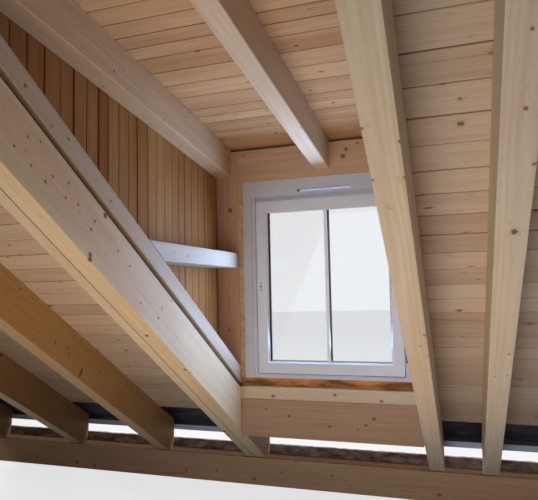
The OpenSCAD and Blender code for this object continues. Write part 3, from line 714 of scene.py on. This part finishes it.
def film_sheet(name, x_low, x_high, line, held_at, stands_for=None):
    """A thin sheet along a side line of (y, z, slack, hem) points, slack only off the timbers at held_at; hem
    is the share of painted light there.
    """
    film_t, column, fine_step, long_step, slack_reach = 0.0008, 0.012, 0.006, 0.07, 0.09
    folds_a_metre, creases_a_metre, lies_off, waves = 34, 62, 0.0004, 0.0008
    columns = round((x_high - x_low) / column)
    rows = []
    for start, stop in zip(line, line[1:]):
        step = fine_step if start[2] + stop[2] > 0.004 else long_step
        parts = max(1, round(math.hypot(stop[0] - start[0], stop[1] - start[1]) / step))
        for k in range(parts):
            rows.append([a + (b - a) * (k / parts) for a, b in zip(start, stop)])
    rows.append(line[-1])
    build = bmesh.new()
    hem_light_layer = build.verts.layers.float.new("hem")
    inside_shade_layer = build.verts.layers.float.new("inside")
    outer, inner = [], []
    way = [0.0]
    for a, b in zip(rows[::-1], rows[-2::-1]):
        way.append(way[-1] + math.hypot(a[0] - b[0], a[1] - b[1]))
    way = way[::-1]
    for k, (y, z, slack, hem) in enumerate(rows):
        before, after = rows[max(k - 1, 0)], rows[min(k + 1, len(rows) - 1)]
        out = Vector((0, after[1] - before[1], before[0] - after[0])).normalized()
        outer_row, inner_row = [], []
        for c in range(columns + 1):
            x = x_low + (x_high - x_low) * c / columns
            free = min([1.0] + [max(0.0, max(a - x, x - b) / slack_reach) for a, b in held_at])
            free = free * free * (3 - 2 * free)
            fold = noise.noise(Vector((x * 2.3, way[k] * folds_a_metre + x * 0.7, 3.0)))
            crease = noise.noise(Vector((x * 3.1 + 9, way[k] * creases_a_metre - x * 1.1, 8.0)))
            crease = 1 - abs(crease) * 2.4
            lift = slack * free * (fold * 0.9 + crease * 0.35 - 0.75)
            rest = lies_off + waves * abs(noise.noise(Vector((x * 1.7, y * 2.1, 4.0))))
            spot = Vector((x, y, z)) + out * (rest + lift)
            for row, place, back in ((outer_row, spot + out * film_t, 0.0), (inner_row, spot, 1.0)):
                vert = build.verts.new(place)
                vert[hem_light_layer] = hem * (0.2 + 0.8 * back)
                vert[inside_shade_layer] = back
                row.append(vert)
        outer.append(outer_row)
        inner.append(inner_row)
    for k in range(len(rows) - 1):
        for c in range(columns):
            build.faces.new((outer[k][c], outer[k][c + 1], outer[k + 1][c + 1], outer[k + 1][c]))
            build.faces.new((inner[k][c], inner[k + 1][c], inner[k + 1][c + 1], inner[k][c + 1]))
    for face in build.faces:
        face.smooth = True
    for k in range(len(rows) - 1):
        for c in (0, columns):
            build.faces.new((outer[k][c], outer[k + 1][c], inner[k + 1][c], inner[k][c]))
    for k in (0, len(rows) - 1):
        for c in range(columns):
            build.faces.new((outer[k][c], inner[k][c], inner[k][c + 1], outer[k][c + 1]))
    bmesh.ops.recalc_face_normals(build, faces=build.faces)
    for edge in build.edges:
        edge.smooth = all(face.smooth for face in edge.link_faces)
    return solid(name, build, "underlay", film, stands_for=stands_for)


rafter_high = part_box("rafter_left_1")[1]
deck_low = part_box("roof_deck_left")[0]
deck_out_z = deck_t / math.cos(main_pitch)
hem_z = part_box("underlay_left")[0].z


def rafter_back_z(y):
    """The height of the rafters' backs."""
    return rafter_high.z - rafter_high.y * rise + y * rise


def deck_back_z(y):
    """The height of the boards' backs."""
    return rafter_back_z(y) + deck_out_z


drop_y = deck_low.y - 2 * deck_out_z
hang_y, slack = -0.0005, 0.020
foot_line = [(deck_low.y, deck_back_z(deck_low.y), 0.0, 0.0), (drop_y, rafter_back_z(drop_y), slack, 0.0),
             (0.0, rafter_back_z(0.0), slack, 0.0), (hang_y, rafter_back_z(0.0) - 0.004, 0.016, 0.0),
             (hang_y, hem_z + 0.034, 0.003, 0.0), (hang_y, hem_z + 0.030, 0.0005, 1.0),
             (hang_y, hem_z, 0.0, 1.0)]
held_at = []
for name in nodes:
    if name.startswith(("rafter_", "trimmer_", "cut_rafter")):
        timber_low, timber_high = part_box(name)
        held_at.append((timber_low.x, timber_high.x))
for part in ("left", "right", "below"):
    low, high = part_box("underlay_" + part)
    line = [(high.y, deck_back_z(high.y), 0.0, 0.0)] + foot_line
    sheet = film_sheet("roof_film_" + part, low.x, high.x, line, held_at, "underlay_" + part)

low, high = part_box("underlay_dormer")
dormer_deck_low, dormer_deck_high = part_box("dormer_deck")
dormer_back = dormer_deck_low.z + deck_t / math.cos(dormer_pitch)
tip_y = dormer_deck_high.y
lap = 0.06
for name, half, line, below, stands_for in (
        ("roof_film_dormer", high.x,
         [(tip_y, dormer_back + (tip_y - dormer_deck_low.y) * dormer_rise, 0.0, 0.0),
          (dormer_deck_low.y, dormer_back, 0.0, 0.0)], "dormer_ceiling_boards", "underlay_dormer"),
        ("roof_film_above", cheek_high.x,
         [(high.y, deck_back_z(high.y), 0.0, 0.0), (tip_y - lap, deck_back_z(tip_y - lap), 0.0, 0.0)],
         "roof_boards_above", None)):
    sheet = film_sheet(name, -half, half, line, [(-half, half)], stands_for)

# Counter battens
# Sawn spruce battens run up the slope over every rafter and hold the film down.
# They are nailed through the boards into the rafters.

saw("counter_battens", along_slope, early=(196, 160, 114), late=(164, 124, 82), knot_size=0.16)
nail_steel, tree = new_finish("nail_steel")
cover(tree, {"Base Color": colour(150, 152, 156), "Metallic": 0.9, "Roughness": 0.42})
battens = nodes["counter_battens"]
nail_pick = random.Random(5)
head_r, head_t, nail_step, first_nail_y = 0.0045, 0.0012, 0.28, 0.35
off_line, off_step, above_all = 0.006, 0.02, 4.0
nail_lines = set()
for name in nodes:
    if name.startswith(("rafter_", "trimmer_left", "trimmer_right", "dormer_rafter_", "cut_rafter")):
        low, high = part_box(name)
        nail_lines.add(round((low.x + high.x) / 2, 3))
heads = bmesh.new()
for x in sorted(nail_lines):
    y = first_nail_y
    while y < cad_high.y:
        spot = Vector((x + nail_pick.uniform(-off_line, off_line), y + nail_pick.uniform(-off_step, off_step),
                       above_all))
        hit, place, normal, _ = battens.ray_cast(battens.matrix_world.inverted() @ spot, Vector((0, 0, -1)))
        if hit and normal.z > 0.5:
            turn = normal.to_track_quat("Z", "Y").to_matrix().to_4x4()
            turn.translation = place + normal * head_t / 2
            bmesh.ops.create_cone(heads, cap_ends=True, segments=12, radius1=head_r, radius2=head_r * 0.8,
                                  depth=head_t, matrix=turn)
        y += nail_step
solid("batten_nails", heads, "hinge_metal", nail_steel)

# Window frame and sash
# White plastic profiles, welded at the mitres, with frame extensions at the sides and top.
# The outer faces carry a dark film. A slot in the extension, with a flap in it, lets air in.

plastic_white = colour(238, 237, 243)
plastic_dusty = colour(226, 224, 231)
film_navy = colour(40, 45, 64)
extension_split, frame_split = wall_y - 0.079, wall_y - 0.034


def window_plastic(name, split_y, white_dimmed_as_shade=1.0):
    """Smooth white plastic whose weather side has a dark film from split_y outward, its white dimmed by the
    given factor as painted shade.
    """
    made, tree = new_finish(name)
    place = own_place(tree)
    y = shade(tree, "ShaderNodeSeparateXYZ", {0: place}).outputs["Y"]
    outside = ramp(tree, y, split_y, split_y - 0.001)
    clean, dusty = [(*[part * white_dimmed_as_shade for part in white[:3]], 1.0)
                    for white in (plastic_white, plastic_dusty)]
    both = blend(tree, outside, blend(tree, clouding(tree, place, 22.0, 4.0), clean, dusty), film_navy)
    skin(tree, both, rough=ramp(tree, outside, 0.0, 1.0, 0.3, 0.65), specular=0.3,
         height=clouding(tree, place, 900.0), bump=0.08, deep=0.0002)
    return made


def stretch_to(verts, low, high):
    """Stretches a cube of one metre round the origin to a box between two corners."""
    for vert in verts:
        vert.co = low + Vector((vert.co[k] + 0.5) * (high[k] - low[k]) for k in range(3))


def box_piece(name, low, high, nick, slot, finish, stands_for=None):
    """A squared piece with its edges eased by a small bevel."""
    build = bmesh.new()
    bmesh.ops.create_cube(build, size=1.0)
    stretch_to(build.verts, Vector(low), Vector(high))
    bmesh.ops.bevel(build, geom=build.edges[:], offset=nick, segments=2, affect="EDGES", profile=0.7)
    solid(name, build, slot, finish, stands_for=stands_for)


# The extension, ring and vent are painted darker than the sash as painted shade.
for node, split_y, white_dimmed_as_shade in (
        ("window_frame_extension", extension_split, 0.66), ("window_frame_ring", frame_split, 0.66),
        ("window_sash", frame_split, 0.82), ("trickle_vent", extension_split, 0.68)):
    dress(node, window_plastic(node + "_plastic", split_y, white_dimmed_as_shade))

# The flap glows pale blue as painted daylight seen through the slot.
flap_painted_daylight, tree = new_finish("vent_flap_plastic")
painted_daylight_glow = blend(tree, clouding(tree, own_place(tree), 14.0), colour(214, 220, 246), colour(160, 164, 196))
cover(tree, {"Base Color": painted_daylight_glow, "Roughness": 0.35, "Emission Color": painted_daylight_glow, "Emission Strength": 0.45})
low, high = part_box("trickle_vent")
vent_rim, flap_clear, open_end, open_top = 0.008, 0.001, 0.014, 0.003
flap_back, flap_front, flap_nick = 0.014, 0.008, 0.001
box_piece("vent_flap", (low.x + vent_rim + flap_clear, high.y - flap_back, low.z + vent_rim + flap_clear),
          (high.x - vent_rim - open_end, high.y - flap_front, high.z - vent_rim - open_top), flap_nick,
          "window_plastic", flap_painted_daylight)

# Double glazing
# Two 4 mm panes with a spacer between them, held by beads; the spacer is white as painted light and, at the
# left, navy as painted shade.
# A white bar is stuck down the middle of the inner pane, a dark one on the outer, and one stands between.

glass, tree = new_finish("clear_glass")
cover(tree, {"Base Color": (0.985, 0.995, 1.0, 1), "Roughness": 0.0, "Transmission Weight": 1.0, "IOR": 1.45})
low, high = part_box("window_glass")
sash_low, sash_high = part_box("window_sash")
pane_t, pane_nick = 0.004, 0.0006
box_piece("glass_pane_inside", (low.x, high.y - pane_t, low.z), high, pane_nick, "glazing", glass,
          "window_glass")
box_piece("glass_pane_outside", low, (high.x, low.y + pane_t, high.z), pane_nick, "glazing", glass)

# The navy film also serves as painted shade, and the white spacer finish as painted light.
white_bar = window_plastic("bar_plastic", 0.0)
navy_film_and_shade = window_plastic("navy_film_and_painted_shade", 1.0)
spacer_painted_light = window_plastic("spacer_painted_light_white", 0.0)
clear, sight, bar_nick, bar_out, inner_nick = 0.0002, 0.012, 0.003, 0.012, 0.001
bar_x = (low.x + high.x) / 2
bar_end = bar_x + 0.008
in_sight = (low.z + sight, high.z - sight)
between = (low.y + pane_t + clear, high.y - pane_t - clear)
spacer_right, spacer_left, spacer_foot = 0.0115, 0.018, 0.017
spacer_span = (low.x + spacer_right + clear, high.x - spacer_left - clear)
for name, x_ends, y_ends, z_ends, nick, finish in (
        ("glazing_bar_inside", (bar_x - 0.010, bar_end), (high.y + clear, high.y + bar_out), in_sight,
         bar_nick, white_bar),
        ("glazing_bar_outside", (bar_x - 0.014, bar_end), (sash_low.y + 0.002, low.y - clear), in_sight,
         bar_nick, navy_film_and_shade),
        ("glazing_bar_between", (bar_x - 0.013, bar_end), between, (low.z + 0.014, high.z - 0.014),
         inner_nick, navy_film_and_shade),
        # The left spacer takes the navy film as painted shade; foot, head and right are white as painted
        # light.
        ("spacer_left", (high.x - spacer_left, high.x), between, (low.z, high.z), pane_nick, navy_film_and_shade),
        ("spacer_right", (low.x, low.x + spacer_right), between, (low.z, high.z), pane_nick, spacer_painted_light),
        ("spacer_foot", spacer_span, between, (low.z, low.z + spacer_foot), pane_nick, spacer_painted_light),
        ("spacer_head", spacer_span, between, (high.z - spacer_right, high.z), pane_nick, spacer_painted_light)):
    box_piece(name, *zip(x_ends, y_ends, z_ends), nick, "window_plastic", finish)

# Dark plugs sit in the lock spindle and screw holes as painted shade of the holes.
lock_x, socket_t = 0.358, 0.004
socket_shade_plugs = bmesh.new()
for z, radius in ((1.196, 0.005), (1.214, 0.006), (1.232, 0.005)):
    turn = Matrix.Translation((lock_x, sash_high.y - socket_t, z)) @ Matrix.Rotation(math.radians(90), 4, "X")
    bmesh.ops.create_cone(socket_shade_plugs, cap_ends=True, segments=20, radius1=radius - clear,
                          radius2=radius - clear, depth=socket_t, matrix=turn)
solid("lock_socket_shade_plugs", socket_shade_plugs, "hinge_metal", navy_film_and_shade)

# Hinges and outer sill
# Two barrel hinges of coated steel are screwed to the right of the sash.
# A folded sheet-metal sill is fixed under the window outside, and throws the rain off the wall.


def coated_metal(name, base, worn, rough, metal):
    """Metal with a fine drawn surface."""
    made, tree = new_finish(name)
    lines = clouding(tree, drawn_out(tree, own_place(tree), 4.0, 60.0, 60.0), 12.0, 3.0)
    cover(tree, {"Base Color": blend(tree, lines, colour(*base), colour(*worn)), "Metallic": metal,
                 "Roughness": ramp(tree, lines, 0.3, 0.7, rough, rough + 0.12)})
    return made


dress("sash_hinges", coated_metal("hinge_coat", (124, 126, 134), (96, 98, 106), 0.35, 0.8))
dress("outer_sill", coated_metal("sill_sheet", (150, 154, 160), (132, 136, 142), 0.4, 0.9))

# Foam joint, packer and eaves strip
# Set foam fills the gap beside the window, cut back roughly, and a packer of pressed board carries it.
# A rough wood-fibre strip closes the outer edge of the plate between the rafters' feet.


def rough_stuff(name, light, deep, stretch, coarse, bump):
    """Set foam or pressed fibre: pitted, lumpy and patchy, the patches drawn out along X by stretch."""
    made, tree = new_finish(name)
    drawn = drawn_out(tree, own_place(tree), 1 / stretch, 1.0, 1.0)
    pits = shade(tree, "ShaderNodeTexVoronoi", {"Vector": drawn, "Scale": 190.0}).outputs["Distance"]
    lumps = clouding(tree, drawn, coarse, 5.0, Roughness=0.62)
    base = blend(tree, ramp(tree, lumps, 0.4, 0.62), colour(*light), colour(*deep))
    skin(tree, base, rough=0.88, specular=0.2,
         height=reckon(tree, "MULTIPLY_ADD", pits, 0.4, lumps), bump=bump, deep=0.003)
    return made


def rough_block(build, low, high, cell, wander, seed):
    """A lumpy block between two corners, its faces pushed inward here and there by up to wander."""
    low, high = Vector(low), Vector(high)
    made = bmesh.ops.create_cube(build, size=1.0)["verts"]
    stretch_to(made, low, high)
    faces = list({face for vert in made for face in vert.link_faces})
    geometry = made + list({edge for vert in made for edge in vert.link_edges}) + faces
    for axis, way in enumerate((x_way, y_way, z_way)):
        parts = max(2, round((high[axis] - low[axis]) / cell[axis]))
        for k in range(1, parts):
            place = low + way * (high[axis] - low[axis]) * k / parts
            geometry = bmesh.ops.bisect_plane(build, geom=geometry, plane_co=place, plane_no=way)["geom"]
    centre = (low + high) / 2
    for vert in [item for item in geometry if isinstance(item, bmesh.types.BMVert)]:
        push = 0.5 + 0.5 * noise.noise(vert.co * 31 + Vector((seed, 0, 0)))
        push += 0.35 * noise.noise(vert.co * 90 + Vector((0, seed, 0)))
        for axis in range(3):
            side = 1 if vert.co[axis] > centre[axis] else -1
            edge = high[axis] if side > 0 else low[axis]
            if abs(vert.co[axis] - edge) < 1e-6:
                vert.co[axis] -= side * min(max(push, 0.0), 1.0) * wander[axis]


def rough_piece(name, blocks, slot, finish, stands_for=None):
    """One piece of several rough blocks of (low, high, cell, wander, seed)."""
    build = bmesh.new()
    for block in blocks:
        rough_block(build, *block)
    return solid(name, build, slot, finish, stands_for=stands_for)


foam_low, foam_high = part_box("foam_joint")
ext_low, ext_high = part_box("window_frame_extension")
bulge_out = 0.008
foam = rough_piece("foam_bead", [
    ((ext_high.x, foam_low.y, foam_low.z), foam_high, (0.008, 0.02, 0.012), (0.0, 0.0, 0.0), 3),
    (foam_low, (ext_low.x, foam_high.y, foam_high.z), (0.004, 0.02, 0.012), (0.0, 0.0, 0.0), 5)],
    "joint_foam", rough_stuff("joint_foam", (206, 180, 142), (186, 156, 116), 1.0, 40.0, 0.5),
    "foam_joint")
for vert in foam.data.vertices:
    if vert.co.y > foam_high.y - 1e-5:
        bulge = 0.5 + 0.5 * noise.noise(vert.co * 37) + 0.3 * noise.noise(vert.co * 95)
        vert.co.y += bulge_out * bulge - bulge_out / 2

rough_piece("pressed_packer", [(*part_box("window_packer"), (0.012, 0.025, 0.01), (0.0, 0.003, 0.0), 7)],
            "packer_timber",
            rough_stuff("packer_board", (214, 146, 88), (122, 76, 46), 5.0, 34.0, 0.6),
            "window_packer")

plate_low, plate_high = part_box("wall_plate")
strip_wide, strip_high = 0.025, 0.062
rough_piece("eaves_strip", [
    ((plate_low.x, plate_low.y, plate_high.z),
     (plate_high.x, plate_low.y + strip_wide, plate_high.z + strip_high), (0.02, 0.0125, 0.012),
     (0.0, 0.003, 0.005), 9)], "packer_timber",
    rough_stuff("wood_fibre", (142, 118, 106), (80, 60, 52), 2.5, 30.0, 1.0))

bpy.context.view_layer.update()
low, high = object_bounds()
